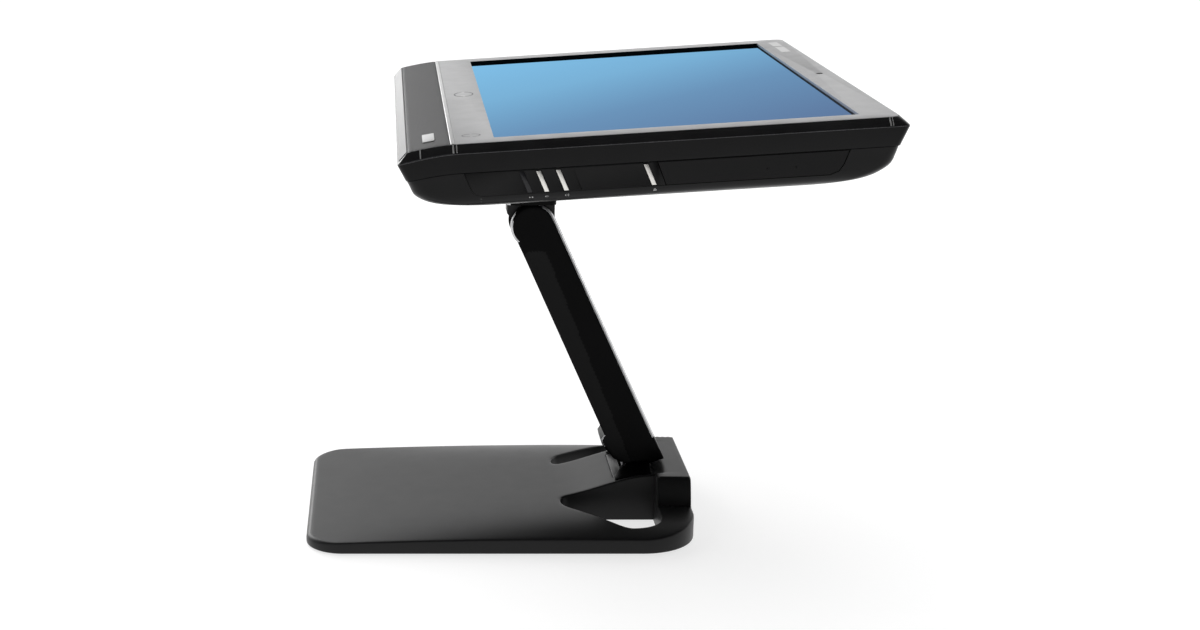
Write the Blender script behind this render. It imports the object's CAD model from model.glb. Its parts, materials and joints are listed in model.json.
"""Looks of a touchscreen computer that lies almost flat on a two-hinge desk stand."""

import json
import math

import bmesh
import bpy
import numpy as np
from mathutils import Matrix, Vector, geometry
from mathutils.bvhtree import BVHTree


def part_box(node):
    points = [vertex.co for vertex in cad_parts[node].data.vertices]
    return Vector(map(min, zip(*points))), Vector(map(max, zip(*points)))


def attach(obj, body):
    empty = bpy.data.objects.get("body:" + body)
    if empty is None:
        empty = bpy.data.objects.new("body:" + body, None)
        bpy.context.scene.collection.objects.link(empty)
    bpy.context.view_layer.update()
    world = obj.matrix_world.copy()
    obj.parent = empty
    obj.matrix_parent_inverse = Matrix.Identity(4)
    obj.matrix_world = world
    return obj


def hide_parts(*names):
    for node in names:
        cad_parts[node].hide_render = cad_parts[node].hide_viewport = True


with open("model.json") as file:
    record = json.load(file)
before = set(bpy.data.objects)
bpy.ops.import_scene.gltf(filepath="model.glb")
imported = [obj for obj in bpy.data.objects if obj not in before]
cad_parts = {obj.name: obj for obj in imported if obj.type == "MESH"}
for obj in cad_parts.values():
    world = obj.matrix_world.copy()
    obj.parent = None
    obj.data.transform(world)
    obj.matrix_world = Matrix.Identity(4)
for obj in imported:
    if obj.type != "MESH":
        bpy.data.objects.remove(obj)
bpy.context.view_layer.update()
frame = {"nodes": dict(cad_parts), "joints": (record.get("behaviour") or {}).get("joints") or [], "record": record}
nodes = frame["nodes"]
MM = 0.001


# ---- Places, worked out from the frame ----

def mount(name):
    return next(m for m in frame["record"]["mounts"] if m["name"] == name)


def joint(name):
    return next(j for j in frame["joints"] if j["name"] == name)


BEZEL_LOW, BEZEL_HIGH = -32.5, 326.4          # front plate's lower and upper edge, mm up the screen
inlet_axis = mount("power_inlet")["axis"]
TILT = math.atan2(inlet_axis[1], -inlet_axis[2])
bezel_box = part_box("front_bezel")
HEAD = (Matrix.Translation((0, bezel_box[0].y - BEZEL_LOW * MM * math.cos(TILT),
                            bezel_box[1].z - BEZEL_HIGH * MM * math.sin(TILT)))
        @ Matrix.Rotation(TILT, 4, "X") @ Matrix.Scale(MM, 4))

lower_hinge = Vector(joint("arm_lean")["pos_m"])
upper_hinge = Vector(joint("head_tilt")["pos_m"])
arm_vector = upper_hinge - lower_hinge
ARM_LEN = arm_vector.length / MM
LEAN = math.atan2(-arm_vector.y, arm_vector.z)
ARM = Matrix.Translation(lower_hinge) @ Matrix.Rotation(LEAN, 4, "X") @ Matrix.Scale(MM, 4)
STAND = Matrix.Scale(MM, 4)


# ---- Curves ----

def smooth(t):
    t = max(0.0, min(1.0, t))
    return t * t * (3 - 2 * t)


def bend(a, b, c, n=12):
    a, b, c = Vector(a), Vector(b), Vector(c)
    return [(1 - t) ** 2 * a + 2 * t * (1 - t) * b + t * t * c for t in (i / n for i in range(n + 1))]


def arc(cx, cy, r, start, end, n=12):
    steps = (math.radians(start + (end - start) * i / n) for i in range(n + 1))
    return [Vector((cx + r * math.cos(a), cy + r * math.sin(a))) for a in steps]


def rounded_box(x0, x1, y0, y1, r, n=12):
    return (arc(x1 - r, y0 + r, r, -90, 0, n) + arc(x1 - r, y1 - r, r, 0, 90, n)
            + arc(x0 + r, y1 - r, r, 90, 180, n) + arc(x0 + r, y0 + r, r, 180, 270, n))


def clean(points, gap=0.05):
    kept = []
    for p in points:
        if not kept or (p - kept[-1]).length > gap:
            kept.append(p)
    if (kept[0] - kept[-1]).length < gap:
        kept.pop()
    return kept


def refine(points, step):
    """Closed outline with long sides cut into stretches no longer than step."""
    out = []
    points = clean(points)
    for a, b in zip(points, points[1:] + points[:1]):
        n = max(1, math.ceil((b - a).length / step))
        out += [a.lerp(b, i / n) for i in range(n)]
    return out


def anticlockwise(points):
    area = sum(a.x * b.y - b.x * a.y for a, b in zip(points, points[1:] + points[:1]))
    return points if area > 0 else points[::-1]


def moved_out(points, distance):
    """Outline (anticlockwise) moved outward; distance is a number or one number a point."""
    n = len(points)
    if not hasattr(distance, "__len__"):
        distance = [distance] * n
    out = []
    for i, p in enumerate(points):
        e1 = (p - points[i - 1]).normalized()
        e2 = (points[(i + 1) % n] - p).normalized()
        n1, n2 = Vector((e1.y, -e1.x)), Vector((e2.y, -e2.x))
        mid = n1 + n2
        out.append(p + mid * (distance[i] / max(0.6, mid.dot(n1))))
    return out


# ---- Mesh building ----

QUARTER = [0, 0.25, 0.5, 0.75, 1]             # steps round a rounded edge
LOWER_EDGE_R = 0.4
RIM_WALLS = (4.0, 3.5, 3.5, 0.6)              # rim round a slab's pocket: outside, two leaves, hinge slot
SIDEWAYS = 0.99999                            # X of a normal that points straight sideways, or more


def placed(name, data):
    """New object in the scene."""
    obj = bpy.data.objects.new(name, data)
    bpy.context.scene.collection.objects.link(obj)
    return obj


def new_object(name, verts, faces, place, sharp=35):
    mesh = bpy.data.meshes.new(name)
    mesh.from_pydata([place @ Vector(v) for v in verts], [], faces)
    bm = bmesh.new()
    bm.from_mesh(mesh)
    bmesh.ops.remove_doubles(bm, verts=bm.verts, dist=1e-6)
    bmesh.ops.dissolve_degenerate(bm, edges=bm.edges, dist=1e-6)
    bmesh.ops.recalc_face_normals(bm, faces=bm.faces)
    bm.to_mesh(mesh)
    bm.free()
    mesh.polygons.foreach_set("use_smooth", [True] * len(mesh.polygons))
    mesh.set_sharp_from_angle(angle=math.radians(sharp))
    return placed(name, mesh)


def prism_faces(n, base=0):
    """Faces of a prism whose two ends have n points each, the first numbered base."""
    return ([tuple(range(base, base + n)), tuple(range(base + n, base + 2 * n))]
            + [(base + i, base + (i + 1) % n, base + n + (i + 1) % n, base + n + i) for i in range(n)])


def install(obj, body, material, slot, *replaced):
    """Give a piece its finish, its body and its slot, and name the CAD nodes that it stands for."""
    obj.data.materials.clear()
    obj.data.materials.append(material)
    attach(obj, body)
    if replaced:
        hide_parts(*replaced)
    return obj


def retouch(obj, place, material, choose):
    """Second finish on the faces for which choose(normal, centre), in the place's own axes, holds."""
    obj.data.materials.append(material)
    back = place.inverted()
    turn = back.to_3x3()
    for face in obj.data.polygons:
        if choose((turn @ face.normal).normalized(), back @ face.center):
            face.material_index = len(obj.data.materials) - 1


def inside(points, polygon):
    """For each of many points, whether it lies in the polygon."""
    p = np.array([(q.x, q.y) for q in points])
    poly = np.array([(q.x, q.y) for q in polygon])
    hit = np.zeros(len(p), bool)
    for a, b in zip(poly, np.roll(poly, -1, axis=0)):
        if a[1] == b[1]:
            continue
        cross = (a[1] > p[:, 1]) != (b[1] > p[:, 1])
        hit ^= cross & (p[:, 0] < (b[0] - a[0]) * (p[:, 1] - a[1]) / (b[1] - a[1]) + a[0])
    return hit


def triangulate(loops, extra):
    """Triangles between an outer loop and the holes inside it, through the extra points too."""
    points = [p for loop in loops for p in loop] + extra
    edges, start = [], 0
    for loop in loops:
        n = len(loop)
        edges += [(start + i, start + (i + 1) % n) for i in range(n)]
        start += n
    verts, _, faces, _, _, _ = geometry.delaunay_2d_cdt([Vector(p) for p in points], edges, [], 0, 1e-5)
    return verts, faces


def filled(loops, extra):
    """Points and triangles of the area inside the first loop and outside the others."""
    flat, tris = triangulate(loops, extra)
    centres = [sum((flat[i] for i in t), Vector((0, 0))) / len(t) for t in tris]
    good = inside(centres, loops[0])
    for hole in loops[1:]:
        good &= ~inside(centres, hole)
    return flat, [tuple(t) for t, g in zip(tris, good) if g]


def rounded_rim(loop, sign, radii, top):
    """Rows of (point, height) from an edge's side to its top, as far in as each point's radius."""
    rows = []
    for q in QUARTER:
        t = q * math.pi / 2
        line = moved_out(loop, [sign * r * (1 - math.cos(t)) for r in radii])
        rows.append([(p, top(p.x, p.y) - r * (1 - math.sin(t))) for p, r in zip(line, radii)])
    return rows


def grid_within(outer, keep_in, holes, step):
    """Staggered grid of points that lie inside keep_in and outside the holes."""
    x0, x1 = min(p.x for p in outer), max(p.x for p in outer)
    y0, y1 = min(p.y for p in outer), max(p.y for p in outer)
    nx, ny = math.ceil((x1 - x0) / step), math.ceil((y1 - y0) / step)
    grid = [Vector((x0 + (x1 - x0) * (i + 0.5 * (j % 2)) / nx, y0 + (y1 - y0) * j / ny))
            for j in range(ny + 1) for i in range(nx + 1)]
    use = inside(grid, keep_in)
    for hole in holes:
        use &= ~inside(grid, hole)
    return [p for p, u in zip(grid, use) if u]


def carved_slab(name, place, outline, holes, top, floor, radius, step, foot=None, lift=0.0):
    """Slab under the surface top(x, y), with rounded edges and holes that go right through.

    radius(x, y, loop) is the edge radius, loop being 0 outside and 1 or more at a hole. foot is the radius
    of the lower outer edge. With lift, the underside has a pocket that deep behind a rim."""
    outer = refine(outline, step)
    loops = [outer] + [refine(h, step) for h in holes]
    rims = [rounded_rim(loop, 1 if k else -1, [radius(p.x, p.y, k) for p in loop], top)
            for k, loop in enumerate(loops)]
    flat_loops = [[p for p, _ in rows[-1]] for rows in rims]
    margin = step * 0.7
    keep_in = moved_out(outer, [-radius(p.x, p.y, 0) - margin for p in outer])
    grid = grid_within(outer, keep_in, [moved_out(loop, margin) for loop in flat_loops[1:]], step)
    flat, faces = filled(flat_loops, grid)
    verts = [(p.x, p.y, top(p.x, p.y)) for p in flat]

    def strip(a, b):
        base = len(verts)
        verts.extend(a + b)
        n = len(a)
        faces.extend((base + i, base + (i + 1) % n, base + n + (i + 1) % n, base + n + i) for i in range(n))

    under = []
    for k, (loop, rows) in enumerate(zip(loops, rims)):
        lines = [[(p.x, p.y, z) for p, z in row] for row in reversed(rows)]
        r = foot if (foot and k == 0) else LOWER_EDGE_R
        sign = 1 if k else -1
        for q in QUARTER:
            t = q * math.pi / 2
            line = moved_out(loop, sign * r * (1 - math.cos(t)))
            lines.append([(p.x, p.y, floor + r * (1 - math.sin(t))) for p in line])
        if lift:
            line = moved_out(loop, sign * RIM_WALLS[k])
            lines.append([(p.x, p.y, floor) for p in line])
            lines.append([(p.x, p.y, floor + lift) for p in line])
        for a, b in zip(lines, lines[1:]):
            strip(a, b)
        under.append([Vector((p[0], p[1])) for p in lines[-1]])
    flat, tris = filled(under, [])
    base = len(verts)
    verts += [(p.x, p.y, floor + lift) for p in flat]
    faces += [tuple(base + i for i in t) for t in tris]
    return new_object(name, verts, faces, place)


def lofted(name, place, rings, closed=False, sharp=35):
    """Skin through rings of equal length; the ends are capped, or joined to each other if closed."""
    n, m = len(rings[0]), len(rings)
    verts = [p for ring in rings for p in ring]
    faces = []
    for k in range(m if closed else m - 1):
        j = (k + 1) % m
        faces += [(k * n + i, k * n + (i + 1) % n, j * n + (i + 1) % n, j * n + i) for i in range(n)]
    if not closed:
        faces += [tuple(range(n)), tuple((m - 1) * n + i for i in range(n))]
    return new_object(name, verts, faces, place, sharp)


def softened(node, name, width, segments=2, angle=30):
    """Copy of a CAD node with the edges sharper than angle rounded; its sideways faces stay flat."""
    mesh = nodes[node].data.copy()
    mesh.name = name
    bm = bmesh.new()
    bm.from_mesh(mesh)
    bmesh.ops.remove_doubles(bm, verts=bm.verts, dist=2e-6)
    bmesh.ops.dissolve_limit(bm, angle_limit=math.radians(0.5), verts=bm.verts, edges=bm.edges)
    edges = [e for e in bm.edges if len(e.link_faces) == 2 and e.calc_face_angle(0) > math.radians(angle)]
    bmesh.ops.bevel(bm, geom=edges, offset=width * MM, segments=segments, profile=0.5, affect="EDGES",
                    clamp_overlap=True, harden_normals=False)
    bmesh.ops.remove_doubles(bm, verts=bm.verts, dist=1e-6)
    bmesh.ops.triangulate(bm, faces=[f for f in bm.faces if len(f.verts) > 4])
    bm.to_mesh(mesh)
    bm.free()
    mesh.polygons.foreach_set("use_smooth", [abs(face.normal.x) < SIDEWAYS for face in mesh.polygons])
    mesh.set_sharp_from_angle(angle=math.radians(40))
    return placed(name, mesh)


# ---- Materials ----

class Shader:
    """A Principled material whose parts are driven by noise in the object's own space."""

    def __init__(self, name, rough, metallic=0.0, specular=0.5):
        self.material = bpy.data.materials.new(name)
        self.material.use_nodes = True
        self.tree = self.material.node_tree
        self.bsdf = self.tree.nodes["Principled BSDF"]
        self.set("Metallic", metallic)
        self.set("Roughness", rough)
        self.set("Specular IOR Level", specular)
        self.place = self.node("ShaderNodeTexCoord").outputs["Object"]

    def set(self, socket, value):
        self.bsdf.inputs[socket].default_value = value

    def node(self, kind, **inputs):
        made = self.tree.nodes.new(kind)
        for key, value in inputs.items():
            self.feed(made, key.replace("_", " "), value)
        return made

    def feed(self, node, key, value):
        socket = node.inputs[int(key)] if key.isdigit() else node.inputs[key]
        if isinstance(value, bpy.types.NodeSocket):
            self.tree.links.new(value, socket)
        else:
            socket.default_value = value

    def noise(self, size, detail=3.0, stretch=(1, 1, 1), rough=0.5):
        """Noise whose features are about size metres across."""
        spot = self.node("ShaderNodeMapping", Vector=self.place, Scale=stretch).outputs["Vector"]
        made = self.node("ShaderNodeTexNoise", Vector=spot, Scale=1 / size, Detail=detail, Roughness=rough)
        return made.outputs["Fac"]

    def ramp(self, value, *stops):
        made = self.node("ShaderNodeValToRGB", Fac=value)
        elements = made.color_ramp.elements
        while len(elements) < len(stops):
            elements.new(0.5)
        for element, (at, colour) in zip(elements, stops):
            element.position = at
            element.color = (*colour, 1)
        return made.outputs["Color"]

    def spread(self, value, low, high):
        """Value from 0.3 to 0.7, where most noise lies, mapped to low to high."""
        made = self.node("ShaderNodeMapRange", Value=value, From_Min=0.3, From_Max=0.7, To_Min=low,
                         To_Max=high)
        return made.outputs["Result"]

    def colour(self, value):
        self.feed(self.bsdf, "Base Color", value)

    def bumps(self, *layers):
        """Layers of (height, distance in metres)."""
        normal = None
        for height, distance in layers:
            made = self.node("ShaderNodeBump", Height=height, Distance=distance, Strength=1.0)
            if normal:
                self.feed(made, "Normal", normal)
            normal = made.outputs["Normal"]
        self.feed(self.bsdf, "Normal", normal)


def shade(colour, k):
    return tuple(min(1, c * k) for c in colour)


def moulded(name, colour, rough, grain=0.0007, depth=0.00002, specular=0.4, variation=0.08, uneven=0.03):
    """Moulded plastic: fine spark-eroded grain, slight unevenness of colour and gloss."""
    s = Shader(name, rough, specular=specular)
    cloud = s.noise(0.09, 3)
    s.colour(s.ramp(cloud, (0.3, shade(colour, 1 - variation)), (0.7, shade(colour, 1 + variation))))
    fine = s.noise(grain, 2)
    handled = s.noise(0.02, 5)
    s.feed(s.bsdf, "Roughness", s.spread(handled, rough - uneven, rough + uneven))
    s.bumps((s.noise(0.012, 2), depth * 0.5), (fine, depth))
    return s.material


def polished(name, colour, rough=0.12, specular=0.5):
    """High-gloss plastic with a very slight moulding ripple and faint rub marks."""
    s = Shader(name, rough, specular=specular)
    s.colour(s.ramp(s.noise(0.03, 3), (0.35, shade(colour, 0.85)), (0.65, shade(colour, 1.2))))
    rubs = s.noise(0.004, 6, (1, 6, 6))
    s.feed(s.bsdf, "Roughness", s.spread(rubs, rough - 0.03, rough + 0.05))
    s.bumps((s.noise(0.05, 1), 0.00004), (s.noise(0.0012, 2), 0.000002))
    return s.material


def metal(name, colour, rough=0.3, stretch=(1, 1, 1), size=0.0008, depth=0.000006, metallic=1.0):
    """Bare or painted metal; stretch makes brush marks along one direction."""
    s = Shader(name, rough, metallic=metallic)
    lines = s.noise(size, 4, stretch)
    s.colour(s.ramp(s.noise(0.03, 4), (0.3, shade(colour, 0.9)), (0.7, shade(colour, 1.06))))
    s.feed(s.bsdf, "Roughness", s.spread(lines, rough - 0.06, rough + 0.08))
    s.bumps((lines, depth))
    return s.material


def painted_silver(name, colour, rough=0.33):
    """Silver paint with fine metallic flakes."""
    s = Shader(name, rough, metallic=0.55, specular=0.5)
    flakes = s.node("ShaderNodeTexVoronoi", Vector=s.place, Scale=2600.0)
    tone = s.ramp(s.noise(0.06, 3), (0.3, shade(colour, 0.96)), (0.7, shade(colour, 1.04)))
    glint = s.ramp(flakes.outputs["Distance"], (0.0, (1, 1, 1)), (0.8, (0.9, 0.9, 0.9)))
    mix = s.node("ShaderNodeMix")
    mix.data_type = "RGBA"
    mix.blend_type = "MULTIPLY"
    mix.inputs["Factor"].default_value = 1.0
    colour_a, colour_b, colour_out = mix.inputs[6], mix.inputs[7], mix.outputs[2]
    s.tree.links.new(tone, colour_a)
    s.tree.links.new(glint, colour_b)
    s.colour(colour_out)
    s.feed(s.bsdf, "Roughness", s.spread(s.noise(0.015, 4), rough - 0.04, rough + 0.04))
    s.bumps((flakes.outputs["Distance"], 0.000004), (s.noise(0.002, 2), 0.000004))
    return s.material


def perforated(name, colour, pitch=0.00115):
    """Grille sheet: rows of small round holes, every second row shifted by half a pitch."""
    s = Shader(name, 0.5, specular=0.4)
    spot = s.node("ShaderNodeMapping", Vector=s.place, Scale=(1 / pitch, 1 / pitch, 0.0)).outputs["Vector"]
    split = s.node("ShaderNodeSeparateXYZ", Vector=spot)

    def maths(operation, a, b=None):
        made = s.tree.nodes.new("ShaderNodeMath")
        made.operation = operation
        s.feed(made, "0", a)
        if b is not None:
            s.feed(made, "1", b)
        return made.outputs[0]

    row = maths("FLOOR", split.outputs["Y"])
    shifted = maths("ADD", split.outputs["X"], maths("MULTIPLY", row, 0.5))
    u = maths("SUBTRACT", maths("FRACT", shifted), 0.5)
    v = maths("SUBTRACT", maths("FRACT", split.outputs["Y"]), 0.5)
    radius = maths("SQRT", maths("ADD", maths("MULTIPLY", u, u), maths("MULTIPLY", v, v)))
    hole = 0.26
    s.colour(s.ramp(radius, (hole, shade(colour, 0.12)), (0.34, colour)))
    depth = s.ramp(radius, (hole, (0, 0, 0)), (0.36, (1, 1, 1)))
    height = s.node("ShaderNodeRGBToBW", Color=depth).outputs["Val"]
    s.bumps((s.noise(0.01, 2), 0.00002), (height, 0.0003))
    return s.material


def lit_screen(name, strength):
    """Picture on the screen: sky blue at the far left, greyer blue at the near right, behind clear glass."""
    s = Shader(name, 0.05, specular=0.0)
    s.set("Base Color", (0.004, 0.005, 0.007, 1))
    low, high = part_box("touch_glass")
    split = s.node("ShaderNodeSeparateXYZ", Vector=s.place)

    def share(axis, a, b, part):
        made = s.node("ShaderNodeMapRange", Value=split.outputs[axis], From_Min=a, From_Max=b, To_Max=part)
        return made.outputs["Result"]

    across = 0.62                             # the picture changes more across the screen than up it
    total = s.tree.nodes.new("ShaderNodeMath")
    s.feed(total, "0", share("X", low.x, high.x, across))
    s.feed(total, "1", share("Y", low.y, high.y, 1 - across))
    picture = s.ramp(total.outputs[0], (0.0, (0.225, 0.545, 0.84)), (0.33, (0.200, 0.460, 0.71)),
                     (0.6, (0.150, 0.305, 0.51)), (1.0, (0.110, 0.180, 0.335)))
    s.feed(s.bsdf, "Emission Color", picture)
    s.set("Emission Strength", strength)
    s.feed(s.bsdf, "Roughness", s.spread(s.noise(0.02, 5), 0.04, 0.09))
    s.bumps((s.noise(0.03, 2), 0.00001))
    return s.material


def rubbery(name, colour):
    s = Shader(name, 0.85, specular=0.25)
    s.colour(s.ramp(s.noise(0.006, 5), (0.3, shade(colour, 0.8)), (0.7, shade(colour, 1.4))))
    s.bumps((s.noise(0.0006, 3), 0.00006))
    return s.material


def board(name, colour):
    """Solder mask with a faint pattern of tracks under it."""
    s = Shader(name, 0.35)
    tracks = s.node("ShaderNodeTexBrick", Vector=s.place, Scale=90.0)
    tracks.inputs["Color1"].default_value = (*colour, 1)
    tracks.inputs["Color2"].default_value = (*shade(colour, 0.8), 1)
    tracks.inputs["Mortar"].default_value = (*shade(colour, 1.6), 1)
    s.colour(tracks.outputs["Color"])
    s.bumps((tracks.outputs["Fac"], 0.00003))
    return s.material


base_plastic = moulded("base_plastic", (0.016, 0.016, 0.0165), 0.37, grain=0.0009, depth=0.00003,
                       specular=0.2, variation=0.04, uneven=0.012)
black_plastic = moulded("black_plastic", (0.0065, 0.0065, 0.0068), 0.36, specular=0.17)
arm_plastic = moulded("arm_plastic", (0.0022, 0.0022, 0.0024), 0.32, grain=0.0006, specular=0.05)
arm_facet = moulded("arm_facet", (0.0045, 0.0045, 0.0047), 0.32, grain=0.0006, specular=0.1)
edge_sheen = metal("edge_sheen", (0.62, 0.62, 0.63), 0.4, size=0.004, metallic=0.9)
shell_plastic = moulded("shell_plastic", (0.0065, 0.0065, 0.0068), 0.33, grain=0.0008, specular=0.17)
dark_plastic = moulded("dark_plastic", (0.008, 0.008, 0.0085), 0.5, specular=0.2)
recess_black = moulded("recess_black", (0.002, 0.002, 0.002), 0.6, specular=0.05)
gloss_black = polished("gloss_black", (0.003, 0.003, 0.0033), 0.13, specular=0.12)
slope_black = polished("slope_black", (0.011, 0.011, 0.0115), 0.15, specular=0.3)
lip_sheen = polished("lip_sheen", (0.045, 0.045, 0.048), 0.25, specular=0.6)
chin_silver = moulded("chin_silver", (0.5, 0.5, 0.5), 0.65, specular=0.08, variation=0.02)
lamp_window = polished("lamp_window", (0.015, 0.015, 0.017), 0.2, specular=0.3)
silver_paint = painted_silver("silver_paint", (0.37, 0.37, 0.375), 0.42)
bright_metal = metal("bright_metal", (0.80, 0.785, 0.75), 0.33, stretch=(14, 1, 1), metallic=0.85)
trim_metal = metal("trim_metal", (0.57, 0.57, 0.57), 0.38, stretch=(1, 14, 14), metallic=0.7)
grille_sheet = perforated("grille_sheet", (0.03, 0.03, 0.0315))
picture_glass = lit_screen("picture_glass", 0.95)
zinc_steel = metal("zinc_steel", (0.58, 0.58, 0.6), 0.34, size=0.004)
cast_alloy = metal("cast_alloy", (0.42, 0.42, 0.43), 0.5, size=0.0012, depth=0.00003)
coated_steel = moulded("coated_steel", (0.012, 0.012, 0.0125), 0.45, grain=0.0011, depth=0.00004,
                       specular=0.25)
foot_rubber = rubbery("foot_rubber", (0.012, 0.012, 0.012))
green_board = board("green_board", (0.012, 0.085, 0.04))
mark_paint = moulded("mark_paint", (0.5, 0.5, 0.5), 0.5, variation=0.05)
mark_dark = moulded("mark_dark", (0.10, 0.10, 0.105), 0.5, variation=0.05)
blank_label = moulded("blank_label", (0.5, 0.5, 0.5), 0.5, grain=0.0004, variation=0.03)

FINISHES = {
    "base_satin_plastic": base_plastic, "black_plastic": black_plastic, "frame_black": gloss_black,
    "silver_plastic": silver_paint, "bright_metal": bright_metal, "grille_metal": grille_sheet,
    "screen_glass": picture_glass, "lit_panel": dark_plastic, "steel": zinc_steel, "cast_metal": cast_alloy,
    "black_steel": coated_steel, "rubber": foot_rubber, "circuit_board": green_board,
    "dark_plastic": dark_plastic,
}
slot_of = {part["node"]: part["material_slot"] for part in frame["record"]["subparts"]}
for part_name, part_object in nodes.items():
    part_object.data.materials.clear()
    part_object.data.materials.append(FINISHES[slot_of[part_name]])


# ---- Base ----

BASE_X, BASE_FRONT, BASE_REAR = 139.0, -178.5, 182.0
FRONT_R, REAR_R = 34.0, 52.0
EDGE_H, DOME_H, HUMP_H, HUMP_X, HUMP_FALL = 15.5, 9.0, 34.4, 62.0, 15.0
CREST_Y, DOME_Y = 60.0, 62.0                  # where the edge is highest and where the dome stops rising
FRONT_SPAN, REAR_SPAN = 238.5, 123.0          # lengths over which the edge falls, forward and back
FRONT_FALL, REAR_FALL = 5.0, 1.0
HUMP_Y, HUMP_RISE = 138.0, 10.0
RAMP_X, RAMP_Y, LEAF_Y = 47.4, 47.0, 150.0
RAMP_START, RAMP_RISE, RAMP_LIP = 23.5, 22.3, 3.2
RAMP_SPAN, LIP_Y, LIP_SPAN = 103.0, 146.0, 16.0
RAMP_BLEND = 5.0
CAP_X, CAP_Y = 34.9, 111.9
BASE_Z, PLATE_POCKET = 1.0, 5.7
LEAF_FRONT = 60.5


def edge_height(y):
    if y < CREST_Y:
        return EDGE_H - FRONT_FALL * ((CREST_Y - y) / FRONT_SPAN) ** 2
    return EDGE_H - REAR_FALL * ((y - CREST_Y) / REAR_SPAN) ** 2


def dome_height(x, y):
    rise = max(0.0, (min(y, DOME_Y) - BASE_FRONT) / (DOME_Y - BASE_FRONT)) ** 1.5
    return edge_height(y) + DOME_H * rise * (1 - (min(abs(x), BASE_X) / BASE_X) ** 6)


def ramp_height(y):
    return (RAMP_START + RAMP_RISE * smooth((y - RAMP_Y) / RAMP_SPAN)
            + RAMP_LIP * smooth((y - LIP_Y) / LIP_SPAN))


def bell(x):
    return 1 - smooth((x - HUMP_X) / HUMP_FALL)


def base_height(x, y):
    x = abs(x)
    rim = dome_height(x, y)
    hump = max(rim, edge_height(y) + HUMP_H * bell(x))
    outer = rim + (hump - rim) * smooth((y - HUMP_Y) / HUMP_RISE)
    if y < RAMP_Y:
        return outer
    ramp = max(rim, ramp_height(y))
    return outer + (ramp - outer) * smooth((RAMP_X + RAMP_BLEND - x) / RAMP_BLEND)


def leaf_outline(side):
    """Opening beside the hinge, from its rounded front round the outside to the hump."""
    a, b, c, d = (RAMP_X, 70), (60, LEAF_FRONT), (76, 67), (112, 106.5)
    e, f, h = (121, 123), (116, 141), (102, LEAF_Y)
    points = (bend(a, (RAMP_X, LEAF_FRONT), b) + bend(b, (68, LEAF_FRONT), c) + bend(d, (121.5, 116.5), e)
              + bend(e, (120.5, 134), f) + bend(f, (110.5, LEAF_Y), h) + [Vector((RAMP_X, LEAF_Y))])
    return anticlockwise([Vector((side * p.x, p.y)) for p in points])


def build_base():
    outline = (arc(BASE_X - FRONT_R, BASE_FRONT + FRONT_R, FRONT_R, -90, 0, 20)
               + arc(BASE_X - REAR_R, BASE_REAR - REAR_R, REAR_R, 0, 90, 20)
               + arc(REAR_R - BASE_X, BASE_REAR - REAR_R, REAR_R, 90, 180, 20)
               + arc(FRONT_R - BASE_X, BASE_FRONT + FRONT_R, FRONT_R, 180, 270, 20))
    slot = [Vector(p) for p in ((-CAP_X, CAP_Y), (CAP_X, CAP_Y), (CAP_X, LEAF_Y), (-CAP_X, LEAF_Y))]

    leaf_r, slot_r = 1.6, 0.35

    def radius(_x, y, loop):
        """The outer edge is rounder along the front."""
        if loop == 0:
            return 1.4 + 2.8 * smooth((-150 - y) / 28)
        return leaf_r if loop < 3 else slot_r

    cover = carved_slab("base_shell", STAND, outline, [leaf_outline(1), leaf_outline(-1), slot], base_height,
                        BASE_Z, radius, 2.6, foot=2.0, lift=PLATE_POCKET)
    install(cover, "base", base_plastic, "base_satin_plastic", "base_cover")


# ---- Arm ----

ARM_X, CORE_X = 20.0, 17.0
ARM_FRONT, ARM_BACK_LOW, ARM_BACK_HIGH, ARM_HEAD_R, FOOT_R = -19.4, 23.6, 21.3, 21.3, 15.5


def arm_outline():
    """Side view of the arm, from the foot of its back over the head and down the stepped front."""
    points = ([Vector((ARM_BACK_LOW, -19.2)), Vector((ARM_BACK_HIGH, ARM_LEN))]
              + arc(0, ARM_LEN, ARM_HEAD_R, 8, 203, 40)
              + [Vector(p) for p in ((ARM_FRONT, ARM_LEN - 17), (ARM_FRONT, 25.5), (-24.2, 23), (-25.3, 18),
                                     (-23.7, 10.8), (-20.6, 0))]
              + arc(0, 0, FOOT_R, -149, -77, 16) + [Vector((7.3, -18))])
    return anticlockwise(clean(points))


def facet_depth(y, z):
    """The front of the arm's side is planed off a little, on a line that runs down and forward."""
    deepest, slope = 2.3, 0.1
    edge = 2.5 - 8.5 * (ARM_LEN - z) / ARM_LEN
    top_fade = smooth((ARM_LEN - 24 - z) / 6 + 0.7 * smooth((edge - y) / 18))
    return max(0.0, min(deepest, (edge - y) * slope)) * top_fade


def arm_edge_radius(y, z, _loop):
    """Broad rounding up the back and over the head, tighter down the front and round the foot."""
    if z > ARM_LEN - 12:
        return 3.4
    if y > 12 and z > -10:
        return 3.6
    return 2.4 if 5 < z < 24 else 1.1


def on_arm_edge(n, c):
    """Rounded edges that catch the light: all up the back, round the head and at the step near the foot."""
    back = n.y > 0.42 and c.z > 4
    head = n.y < -0.42 and c.z > ARM_LEN - 8
    step = n.y < -0.2 and 15 < c.z < 26
    return abs(c.x) > CORE_X and (back or head or step)


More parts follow.
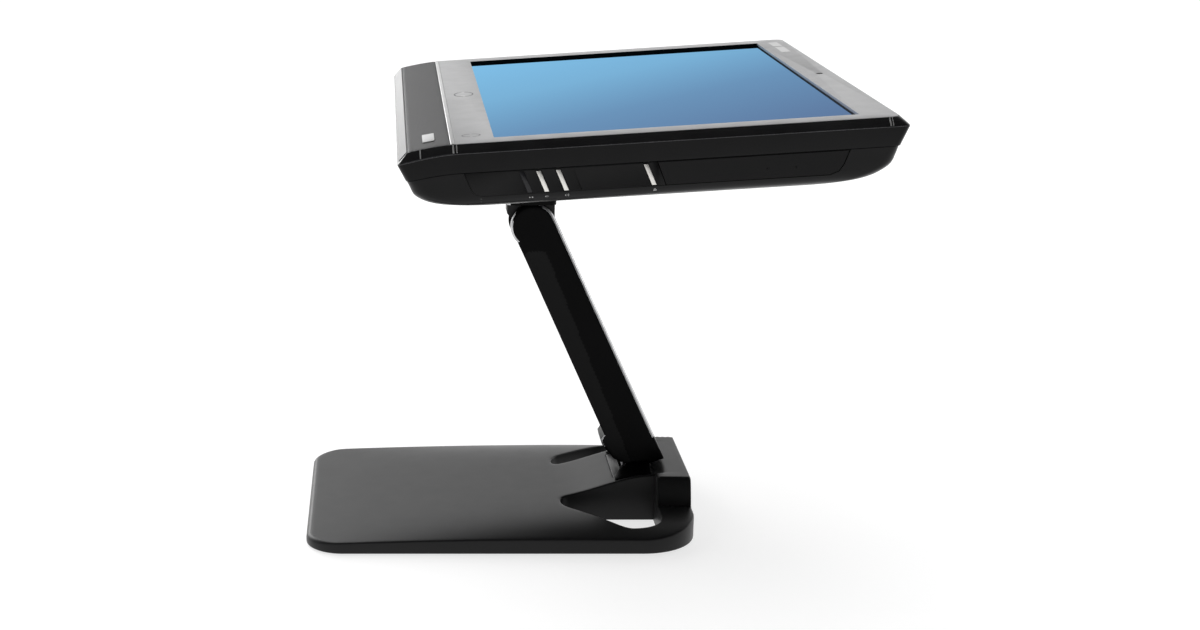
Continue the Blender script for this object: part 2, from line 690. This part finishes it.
def build_arm():
    for side, node in ((-1, "arm_cover_left"), (1, "arm_cover_right")):
        place = ARM @ Matrix(((0, 0, side, 0), (1, 0, 0, 0), (0, 1, 0, 0), (0, 0, 0, 1)))
        cover = carved_slab(node.replace("cover", "side"), place, arm_outline(), [],
                            lambda y, z: ARM_X - facet_depth(y, z), CORE_X - 3.4, arm_edge_radius, 2.2)
        install(cover, "arm", arm_plastic, "black_plastic", node)
        retouch(cover, ARM, edge_sheen, lambda n, c: n.x * side > 0.03 and on_arm_edge(n, c))
        retouch(cover, ARM, arm_facet, lambda n, c: n.x * side > 0.9 and facet_depth(c.y, c.z) > 0.05)
    for node, name, width in (("arm_front_strip", "arm_front_cover", 0.5),
                              ("arm_rear_strip", "arm_rear_cover", 0.6),
                              ("arm_foot_shield", "arm_foot_guard", 0.5)):
        install(softened(node, name, width, 3, 12), "arm", arm_plastic, "black_plastic", node)


# ---- Display shell ----

LIP_X, BEZEL_X = 266.5, 259.4
PARTING, DEPTH = -24.5, 56.0
BAND_TOP = -26.6
FALL_SHARE = 0.92                             # how much of the fall reaches the parting line
DROP_V, DROP_SPAN, DROP_H = -33.0, 38.0, 4.3
GRILLE_TOP, GRILLE_LOW = -36.4, -71.0


def drop(v):
    """How far the front has fallen away at v, below the screen."""
    return DROP_H * max(0.0, (DROP_V - v) / DROP_SPAN) ** 1.5


def ring(x, v0, v1, r, w, k=1.0, low=None, n=10):
    """Outline round the display at depth w; k is its share of the fall towards the lower edge,
    and low the radius of its lower corners."""
    q = r if low is None else low
    start = v0 + q
    end = max(DROP_V, start + 6)
    side = [(x, start + (end - start) * t) for t in (0.25, 0.5, 0.75, 1)]
    low_arcs = arc(q - x, start, q, 180, 270, n) + arc(x - q, start, q, 270, 360, n)
    high_arcs = arc(x - r, v1 - r, r, 0, 90, n) + arc(r - x, v1 - r, r, 90, 180, n)
    points = ([(p.x, p.y) for p in low_arcs] + side + [(p.x, p.y) for p in high_arcs]
              + [(-a, b) for a, b in reversed(side)])
    return [(a, b, w - k * drop(b)) for a, b in points]


def eased(rows, n):
    """Rows of ring values with a smooth curve through them."""
    rows = [np.array(r, float) for r in rows]
    out = []
    for i in range(len(rows) - 1):
        p0, p1, p2, p3 = rows[max(0, i - 1)], rows[i], rows[i + 1], rows[min(len(rows) - 1, i + 2)]
        for t in (k / n for k in range(n)):
            out.append(0.5 * (2 * p1 + (p2 - p0) * t + (2 * p0 - 5 * p1 + 4 * p2 - p3) * t * t
                              + (3 * p1 - p0 - 3 * p2 + p3) * t ** 3))
    return out + [rows[-1]]


def filleted(rows, sizes, n=4):
    """Closed chain of ring values with its corners rounded by the given lengths."""
    rows = [np.array(r, float) for r in rows]
    out = []

    def towards(here, other, size):
        away = math.hypot(other[0] - here[0], other[4] - here[4])
        return here + (other - here) * min(0.45, size / max(0.01, away))

    for i, size in enumerate(sizes):
        here = rows[i]
        if not size:
            out.append(here)
            continue
        a, b = towards(here, rows[i - 1], size), towards(here, rows[(i + 1) % len(rows)], size)
        out += [(1 - t) ** 2 * a + 2 * t * (1 - t) * here + t * t * b for t in (k / n for k in range(n + 1))]
    return out


# half width, lower and upper edge, corner radius, depth, share of the fall, lower corner radius
PARTING_ROW = (BEZEL_X - 1.4, -73.8, 327.3, 5, PARTING, FALL_SHARE, 5)
LIP_ROW = (LIP_X, -80.2, 333.5, 5, -7, 1.08, 5)
FRONT_ROW = (BEZEL_X + 0.3, -71.4, 326.8, 9, 0, 1, 0.5)
FRAME_ROWS = [PARTING_ROW, LIP_ROW, FRONT_ROW, (BEZEL_X + 0.3, -71.4, 326.8, 9, -2.6, 1, 0.5),
              (250, -62, 318.5, 5, -2.6, 1, 5), (250, -62, 318.5, 5, PARTING, FALL_SHARE, 5)]


def build_side_frame():
    rows = filleted(FRAME_ROWS, [0.5, 0.9, 0.8, 0, 0, 0])
    shell = lofted("side_frame_shell", HEAD, [ring(*r) for r in rows], closed=True)
    install(shell, "head", gloss_black, "frame_black", "side_frame")
    upward = 0.6                              # faces that look up more than this are on the front slope
    near_lip = 3
    retouch(shell, HEAD, lip_sheen, lambda n, c: -0.3 < n.z < upward and c.z > -16 and (
        abs(c.x) > LIP_X - near_lip or c.y > 330 or c.y < -77))
    retouch(shell, HEAD, slope_black, lambda n, c: n.z >= upward and c.z < -0.2)


def prism(points, x0, x1):
    """Mesh data of an outline in (v, w) between two values of x."""
    return [(x0, *p) for p in points] + [(x1, *p) for p in points], prism_faces(len(points))


def box_data(a, b):
    """Mesh data of a block between two opposite corners."""
    return prism([(a[1], a[2]), (b[1], a[2]), (b[1], b[2]), (a[1], b[2])], a[0], b[0])


def tube_data(x, v, r, w0, w1, n=24):
    """Mesh data of a round bar along w."""
    turn = [(x + r * math.cos(2 * math.pi * i / n), v + r * math.sin(2 * math.pi * i / n)) for i in range(n)]
    return [(*p, w0) for p in turn] + [(*p, w1) for p in turn], prism_faces(n)


def band_outline(g):
    """Outline in (v, w) of the recess for the side panel and the drive, grown by g."""
    return [(-26.5 - g, BAND_TOP + 1 + g), (-20.5 - g, -40.5), (-17.5, -43.6 - g * 0.6), (-12, -45 - g),
            (270, -45.2 - g), (277.4, -42.4 - g), (281.5 + g, -37), (286.5 + g, BAND_TOP + 1 + g)]


PORT_LOW, PORT_HIGH = (-85, 222), (75, 262)   # corners of the recess over the sockets
FAN_VENT_X, FAN_VENT_V = (-206, -134), 200    # slots over the fan: their ends, and the lowest edge
LOW_VENT_X, LOW_VENT_V = -77.5, (2, 8)        # row of small slots below the neck
MOUNT_V, MOUNT_HALF = 127, 50                 # middle and half width of the square of mount screws
MOUNT_SCREWS = [(x, MOUNT_V + v) for x in (-MOUNT_HALF, MOUNT_HALF) for v in (-MOUNT_HALF, MOUNT_HALF)]
CASE_SCREWS = [(-222, 250), (222, 250), (-222, 110), (222, 110), (-222, 5), (222, 5), (0, 268), (0, -6)]


def build_rear_cover():
    """Hollow rear shell with its openings; a row holds half width, both edges, corner radius and depth."""
    outer = [(232, -15, 270, 34, -DEPTH), (241, -30, 283, 30, 0.7 - DEPTH), (248.5, -47, 299, 26, 3 - DEPTH),
             (252.6, -56, 308.5, 22, 6 - DEPTH), (255, -63, 316, 18, -45.5), (255.6, -68.3, 322, 13, -39.7),
             (256, -71.2, 325, 10, -32), (256.5, -73.3, 326.7, 6, PARTING - 0.2)]
    inner = [(254, -69.7, 322.5, 11, PARTING - 0.2), (253.4, -68.8, 322.5, 11, -32),
             (253, -66.2, 319, 13, -39), (252.4, -61, 314, 16, -44.4), (250, -54.5, 307, 20, 8.2 - DEPTH),
             (245, -45, 297, 24, 5 - DEPTH), (234, -28, 281, 28, 3.1 - DEPTH),
             (228, -14, 268, 30, 2.5 - DEPTH)]
    last_row = len(outer) - 1
    outside = eased([(*r, FALL_SHARE if i == last_row else 0.1 * i) for i, r in enumerate(outer)], 4)
    last = outside[-1].copy()
    outside[-1:] = [last + np.array([0, 0, 0, 0, -0.5, 0]), last - np.array([0.5, -0.5, 0.5, 0.5, 0, 0])]
    inside_rows = [(*r, FALL_SHARE if i == 0 else 0.1 * (last_row - i)) for i, r in enumerate(inner)]
    shell = lofted("rear_cover_shell", HEAD, [ring(*r) for r in outside] + [ring(*r) for r in inside_rows])
    behind, within = -70, -50                 # depths between which a cut goes through the back
    slot = 3.5
    cuts = [prism(band_outline(0.3), 246, 270), box_data((*PORT_LOW, behind), (*PORT_HIGH, -40))]
    for i in range(9):
        v = FAN_VENT_V + i * 8.5
        cuts.append(box_data((FAN_VENT_X[0], v, behind), (FAN_VENT_X[1], v + slot, within)))
    for i in range(12):
        x = LOW_VENT_X + i * 14
        cuts.append(box_data((x, LOW_VENT_V[0], behind), (x + slot, LOW_VENT_V[1], within)))
    cuts += [tube_data(x, v, 2.4, behind, within) for x, v in MOUNT_SCREWS]
    cuts += [tube_data(x, v, 2.0, behind, within) for x, v in CASE_SCREWS]
    verts, faces = [], []
    for more_verts, more_faces in cuts:
        faces += [tuple(len(verts) + i for i in f) for f in more_faces]
        verts += more_verts
    cutter = new_object("rear_cover_cutter", verts, faces, HEAD)
    modifier = shell.modifiers.new("openings", "BOOLEAN")
    modifier.operation = "DIFFERENCE"
    modifier.solver = "EXACT"
    modifier.object = cutter
    bpy.context.view_layer.update()
    evaluated = shell.evaluated_get(bpy.context.evaluated_depsgraph_get())
    mesh = bpy.data.meshes.new_from_object(evaluated)
    shell.modifiers.clear()
    shell.data = mesh
    bpy.data.objects.remove(cutter)
    mesh.polygons.foreach_set("use_smooth", [True] * len(mesh.polygons))
    mesh.set_sharp_from_angle(angle=math.radians(30))
    return install(shell, "head", shell_plastic, "black_plastic", "rear_cover")


def build_grille():
    """Curved perforated band with rolled edges, over the speakers."""
    profile = []
    steps, thick, roll, roll_depth = 22, 1.6, 1.6, 0.7
    for i in range(steps + 1):
        v = GRILLE_TOP + (GRILLE_LOW - GRILLE_TOP) * i / steps
        edge = min(i, steps - i) / steps * (GRILLE_TOP - GRILLE_LOW)
        rolled = 1 - math.sqrt(max(0, 1 - (1 - min(edge, roll) / roll) ** 2))
        profile.append((v, -drop(v) - roll_depth * rolled))
    profile += [(v, w - thick) for v, w in reversed(profile)]
    ends = [(0, 0.5), (0.3, 0.15), (0.9, 0)]
    columns = 60
    across = ([(-BEZEL_X + x, inset) for x, inset in ends]
              + [(-BEZEL_X + 0.9 + (2 * BEZEL_X - 1.8) * i / columns, 0) for i in range(1, columns)]
              + [(BEZEL_X - x, inset) for x, inset in reversed(ends)])
    sections = [[(x, v, w - inset) for v, w in profile] for x, inset in across]
    install(lofted("grille_band", HEAD, sections), "head", grille_sheet, "grille_metal", "speaker_grille")


# ---- Small details on the display ----

def projected(name, surface, outlines, direction, lift, material, slot):
    """Thin marks laid on a surface: flat outlines in (x, v, w) are dropped onto it along direction."""
    tree = BVHTree.FromPolygons([v.co.copy() for v in surface.data.vertices],
                                [tuple(p.vertices) for p in surface.data.polygons])
    way = (HEAD.to_3x3() @ Vector(direction)).normalized()
    verts, faces = [], []
    sunk = 0.2
    for outline in outlines:
        found = [tree.ray_cast(HEAD @ Vector(p), way)[0] for p in outline]
        faces += prism_faces(len(found), len(verts))
        verts += [p - way * lift * MM for p in found] + [p + way * sunk * MM for p in found]
    obj = new_object(name, verts, faces, Matrix.Identity(4))
    return install(obj, "head", material, slot)


def stroke(points, width):
    """Outline of a bent line of constant width."""
    points = [Vector(p) for p in points]
    left, right = [], []
    for i, p in enumerate(points):
        way = (points[min(i + 1, len(points) - 1)] - points[max(i - 1, 0)]).normalized()
        side = Vector((-way.y, way.x)) * width / 2
        left.append(p + side)
        right.append(p - side)
    return left + right[::-1]


def build_side_marks(cover):
    """Generic signs under the bars: two lamps, quieter, louder and eject, and a tick further forward."""
    def outline(*corners):
        return [Vector(p) for p in corners]

    marks = [arc(v, -48.6, 0.55, 0, 330, 8) for v in (26.0, 28.2)]
    for v, waves in ((40.2, 1), (56.4, 2)):
        marks.append(outline((v - 1.6, -48.9), (v - 0.9, -48.9), (v - 0.2, -49.6), (v - 0.2, -47.4),
                             (v - 0.9, -48.1), (v - 1.6, -48.1)))
        marks += [stroke(arc(v - 0.2, -48.5, 0.9 + 0.75 * k, -42, 42, 6), 0.3) for k in range(waves)]
    marks.append(outline((126.6, -48.4), (129.4, -48.4), (128.0, -47.1)))
    marks.append(stroke([(-13.5, -47.2), (-13.5, -50.2)], 0.6))
    marks.append(outline((126.6, -49.4), (129.4, -49.4), (129.4, -48.85), (126.6, -48.85)))
    start_x = 262.0
    outlines = [[(start_x, p.x, p.y) for p in mark] for mark in marks]
    projected("side_marks", cover, outlines, (-1, 0, 0), 0.03, mark_paint, "bright_metal")


def ellipse_strokes(x, v, rx, rv, width, gap=8):
    """Two halves of a thin elliptical ring."""
    halves = []
    for start in (gap, 180 + gap):
        angles = [math.radians(start + (180 - 2 * gap) * i / 16) for i in range(17)]
        halves.append(stroke([(x + rx * math.cos(a), v + rv * math.sin(a)) for a in angles], width))
    return halves


def build_bezel_marks(bezel):
    """Small blank inlays and blank stickers on the front plate."""
    def lay(name, outlines, lift, material):
        raised = [[(p.x, p.y, 6.0) for p in line] for line in outlines]
        projected(name, bezel, raised, (0, 0, -1), lift, material, "silver_plastic")

    lay("centre_inlay", ellipse_strokes(-11, -15.5, 14, 8.5, 1.3), 0.05, mark_dark)
    lay("centre_inlay_dots", [arc(x, -16.5, 2.6, 0, 340, 14) for x in (-20, -2)], 0.04, blank_label)
    lay("touch_inlay", ellipse_strokes(221, -18, 6.5, 7.5, 1.0), 0.05, mark_dark)
    lay("blank_stickers", [rounded_box(-238, -206, 309, 318, 1, 3), rounded_box(-200, -160, 309, 318, 1, 3)],
        0.06, blank_label)


TRIM_LINES = ((-61.0, 1.1), (-34.2, 1.3), (-31.4, 0.8), (317.2, 1.2), (319.3, 0.7))   # middle and width


def build_edge_trims():
    """Ends of the trim lines, where they cross the black slope round the front plate."""
    verts, faces = [], []
    raised, sunk = 0.12, 0.4
    for side in (-1, 1):
        for v, width in TRIM_LINES:
            base = len(verts)
            for t in (0.04, 0.3, 0.6, 0.9):
                x = FRONT_ROW[0] + (LIP_ROW[0] - FRONT_ROW[0]) * t
                w = FRONT_ROW[4] + (LIP_ROW[4] - FRONT_ROW[4]) * t
                for dv in (-width / 2, width / 2):
                    depth = w - drop(v + dv)
                    verts += [(side * (x + raised), v + dv, depth + raised),
                              (side * (x - sunk), v + dv, depth - sunk)]
            for k in range(3):
                a = base + 4 * k
                faces += [(a, a + 2, a + 6, a + 4), (a + 1, a + 3, a + 7, a + 5), (a, a + 1, a + 5, a + 4),
                          (a + 2, a + 3, a + 7, a + 6)]
            faces += [(base, base + 1, base + 3, base + 2), (base + 12, base + 13, base + 15, base + 14)]
    install(new_object("edge_trims", verts, faces, HEAD), "head", trim_metal, "bright_metal")


def in_window_wall(n, c):
    """Left and right walls of the window that the screen lies in."""
    return abs(n.x) > 0.5 and abs(c.x) < 240 and -4 < c.y < 302


def build_display():
    build_side_frame()
    cover = build_rear_cover()
    build_grille()
    bezel = install(softened("front_bezel", "front_plate", 0.45, 3), "head", silver_paint, "silver_plastic",
                    "front_bezel")
    for node, name, width, material, angle in (
            ("accent_strip", "accent_line", 0.6, trim_metal, 30),
            ("chin_trim", "chin_line", 0.2, chin_silver, 30),
            ("blank_badge", "plain_plate", 0.2, blank_label, 30),
            ("touch_frame", "screen_gasket", 0.4, recess_black, 30),
            ("side_panel", "control_panel", 0.35, black_plastic, 40),
            ("light_bar", "lamp_bar", 0.3, lamp_window, 30),
            ("mount_plate", "mounting_plate", 0.4, coated_steel, 30),
            ("port_box", "port_tray", 0.3, dark_plastic, 40)):
        install(softened(node, name, width, 2, angle), "head", material, slot_of[node], node)
    shroud = install(softened("bracket_cover", "neck_shroud", 0.8, 3, 30), "head", arm_plastic,
                     "black_plastic", "bracket_cover")
    retouch(shroud, STAND, edge_sheen, lambda n, c: n.x > 0.03 and n.y < -0.45)
    for node, body in (("volume_up_button", "volume_up"), ("volume_down_button", "volume_down"),
                       ("eject_button", "eject")):
        install(softened(node, node.replace("_button", "_bar"), 0.35, 3), body, bright_metal,
                "bright_metal", node)
    retouch(bezel, HEAD, recess_black, in_window_wall)
    build_side_marks(cover)
    build_bezel_marks(bezel)
    build_edge_trims()


def build_stand_details():
    for node, name, width, material in (("ramp_cap", "hinge_lid", 0.3, base_plastic),
                                        ("pedestal_shoulders", "hinge_shoulders", 0.5, arm_plastic),
                                        ("foot_pads", "rubber_feet", 0.3, foot_rubber)):
        install(softened(node, name, width, 2, 20), "base", material, slot_of[node], node)


# ---- Camera, light and floor ----

# the photograph's viewpoint, fitted to the corners of the screen and of the base
CAMERA_AT, CAMERA_DIP = (1.9081, -0.1066, 0.6801), 14.39
CAMERA_LENS, SENSOR_WIDTH, CAMERA_SHIFT = 62.0, 36.0, 0.18

SUN_POWER, SUN_SPREAD, SUN_TURN = 2.9, 75, (12, -18)
FLOOR_HALF, FLOOR_GLOW = 14, 0.74


def build_camera():
    data = bpy.data.cameras.new("camera")
    data.lens = CAMERA_LENS
    data.sensor_width = SENSOR_WIDTH
    data.shift_x = CAMERA_SHIFT
    camera = placed("camera", data)
    camera.location = CAMERA_AT
    camera.rotation_euler = (math.radians(90 - CAMERA_DIP), 0, math.radians(90))
    bpy.context.scene.camera = camera


def area_light(name, location, target, size, power):
    data = bpy.data.lights.new(name, "AREA")
    data.shape = "RECTANGLE"
    data.size, data.size_y = size
    data.energy = power
    light = placed(name, data)
    light.location = location
    light.rotation_euler = (Vector(target) - Vector(location)).to_track_quat("-Z", "Y").to_euler()


def build_world():
    """White to the camera; to the object it is bright on the left and low down, and dark elsewhere."""
    world = bpy.data.worlds.new("studio")
    world.use_nodes = True
    bpy.context.scene.world = world
    tree = world.node_tree
    link = tree.links.new

    def faded(value, low, high, at_low, at_high, kind="LINEAR"):
        """The value from low to high mapped to at_low to at_high."""
        made = tree.nodes.new("ShaderNodeMapRange")
        made.interpolation_type = kind
        numbers = {"From Min": low, "From Max": high, "To Min": at_low, "To Max": at_high}
        for socket, number in numbers.items():
            made.inputs[socket].default_value = number
        link(value, made.inputs["Value"])
        return made.outputs["Result"]

    where = tree.nodes.new("ShaderNodeTexCoord")
    split = tree.nodes.new("ShaderNodeSeparateXYZ")
    link(where.outputs["Generated"], split.inputs[0])
    both = tree.nodes.new("ShaderNodeMath")
    both.operation = "MULTIPLY"
    link(faded(split.outputs["X"], 0.25, -0.75, 0.04, 1.25), both.inputs[0])
    link(faded(split.outputs["Z"], 0.25, 0.72, 1.0, 0.1, "SMOOTHSTEP"), both.inputs[1])
    grey = tree.nodes.new("ShaderNodeCombineColor")
    for channel in range(3):
        link(both.outputs[0], grey.inputs[channel])
    dim = tree.nodes["Background"]
    dim.inputs["Strength"].default_value = 1.0
    link(grey.outputs[0], dim.inputs["Color"])
    pale = tree.nodes.new("ShaderNodeBackground")
    pale.inputs["Strength"].default_value = 1.0
    seen = tree.nodes.new("ShaderNodeLightPath")
    mix = tree.nodes.new("ShaderNodeMixShader")
    link(seen.outputs["Is Camera Ray"], mix.inputs[0])
    link(dim.outputs[0], mix.inputs[1])
    link(pale.outputs[0], mix.inputs[2])
    link(mix.outputs[0], tree.nodes["World Output"].inputs["Surface"])


def build_lights():
    """A wide soft sun that leaves no gleam on black plastic, and two panels for the edges."""
    sun = bpy.data.lights.new("soft_sky", "SUN")
    sun.energy = SUN_POWER
    sun.angle = math.radians(SUN_SPREAD)
    sky = placed("soft_sky", sun)
    sky.rotation_euler = (math.radians(SUN_TURN[0]), math.radians(SUN_TURN[1]), 0)
    sky.visible_glossy = False
    area_light("left_strip", (-2.3, -1.3, 1.1), (0, 0, 0.3), (1.4, 1.2), 22)
    area_light("right_strip", (-1.5, 2.1, 0.9), (0, 0.1, 0.3), (0.9, 1.4), 8)


def build_floor():
    """White floor that glows a little, so that it blends into the white behind."""
    mesh = bpy.data.meshes.new("floor")
    corners = [(x * FLOOR_HALF, y * FLOOR_HALF, 0) for x, y in ((-1, -1), (1, -1), (1, 1), (-1, 1))]
    mesh.from_pydata(corners, [], [(0, 1, 2, 3)])
    floor = placed("floor", mesh)
    s = Shader("floor_white", 0.7, specular=0.2)
    s.colour(s.ramp(s.noise(0.4, 3), (0.3, (0.32, 0.32, 0.32)), (0.7, (0.33, 0.33, 0.33))))
    s.bumps((s.noise(0.01, 3), 0.00005))
    s.set("Emission Color", (1, 1, 1, 1))
    s.set("Emission Strength", FLOOR_GLOW)
    floor.data.materials.append(s.material)


build_camera()
build_base()
build_stand_details()
build_arm()
build_display()
bpy.context.scene.view_settings.view_transform = "Standard"
build_world()
build_lights()
build_floor()
